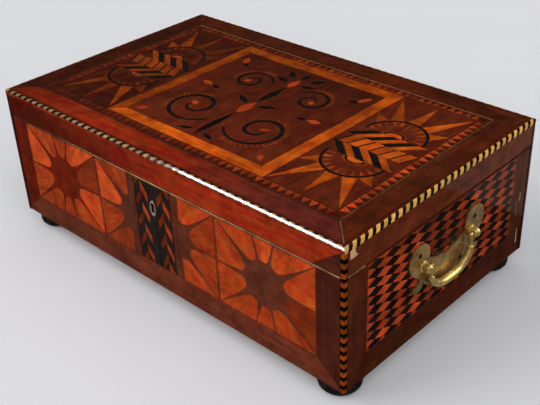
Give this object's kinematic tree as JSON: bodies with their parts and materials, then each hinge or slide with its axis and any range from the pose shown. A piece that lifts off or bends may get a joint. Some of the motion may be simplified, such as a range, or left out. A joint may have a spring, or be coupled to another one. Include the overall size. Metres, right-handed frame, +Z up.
{
  "type": "inlaid box",
  "caption": "Low veneered table box with a hinged lid, star and harlequin inlay, rope stringing on its edges, brass drop handles and black bun feet.",
  "frame": {"origin": "on the surface that the feet stand on, under the middle of the whole box", "axes": "+X along the front to the right end, +Y from the front to the hinged back, +Z up"},
  "size_m": [0.5248, 0.314, 0.1795],
  "materials": {
    "mahogany": "old red-brown mahogany veneer under glossy varnish",
    "dark_walnut": "dark brown veneer under glossy varnish",
    "plain_wood": "planed, unvarnished inside wood",
    "padauk": "orange-red veneer under glossy varnish",
    "star_wood": "brown veneer under glossy varnish",
    "amber_wood": "orange-yellow veneer under glossy varnish",
    "boxwood": "pale stringing with black blocks, varnished",
    "ebony": "black veneer under glossy varnish",
    "ebonised": "black polish, glossy",
    "brass": "cast brass, polished and tarnished in the hollows"
  },
  "bodies": {
    "box": {"box_front": "mahogany", "box_right": "dark_walnut", "box_back": "mahogany", "box_left": "dark_walnut", "box_bottom": "plain_wood", "front_left_star": "star_wood", "front_left_petals": "padauk", "front_inner_left_star": "star_wood", "front_inner_left_petals": "padauk", "front_inner_right_star": "star_wood", "front_inner_right_petals": "padauk", "front_right_star": "star_wood", "front_right_petals": "padauk", "keyhole_panel": "ebony", "keyhole_escutcheon": "brass", "left_harlequin_panel": "padauk", "right_harlequin_panel": "padauk", "corner_string_front_left": "boxwood", "corner_string_front_right": "boxwood", "corner_string_back_left": "boxwood", "corner_string_back_right": "boxwood", "foot_front_left": "ebonised", "foot_front_right": "ebonised", "foot_back_left": "ebonised", "foot_back_right": "ebonised", "left_handle_plate": "brass", "left_handle_post_front": "brass", "left_handle_post_back": "brass", "right_handle_plate": "brass", "right_handle_post_front": "brass", "right_handle_post_back": "brass", "left_hinge_lower_leaf": "brass", "right_hinge_lower_leaf": "brass"},
    "lid": {"lid_top": "dark_walnut", "lid_front": "mahogany", "lid_right": "dark_walnut", "lid_back": "mahogany", "lid_left": "dark_walnut", "lid_banding": "padauk", "lid_centre_frame": "amber_wood", "lid_centre_panel": "mahogany", "lid_left_panel": "star_wood", "lid_right_panel": "star_wood", "lid_string_front": "boxwood", "lid_string_right": "boxwood", "lid_string_back": "boxwood", "lid_string_left": "boxwood", "lid_corner_string_front_left": "boxwood", "lid_corner_string_front_right": "boxwood", "lid_corner_string_back_left": "boxwood", "lid_corner_string_back_right": "boxwood", "left_hinge_upper_leaf": "brass", "right_hinge_upper_leaf": "brass"},
    "left_bail": {"left_handle_bail": "brass"},
    "right_bail": {"right_handle_bail": "brass"}
  },
  "joints": [
    {"name": "lid_hinge", "type": "hinge", "parent": "box", "child": "lid", "pos_m": [0, 0.15445, 0.1487], "axis": [-1, 0, 0], "range_deg": [0, 105]},
    {"name": "left_bail_swing", "type": "hinge", "parent": "box", "child": "left_bail", "pos_m": [-0.2566, -0.00245, 0.1015], "axis": [0, 1, 0], "range_deg": [-1.5, 165]},
    {"name": "right_bail_swing", "type": "hinge", "parent": "box", "child": "right_bail", "pos_m": [0.2566, -0.00245, 0.1015], "axis": [0, -1, 0], "range_deg": [-1.5, 165]}
  ]
}
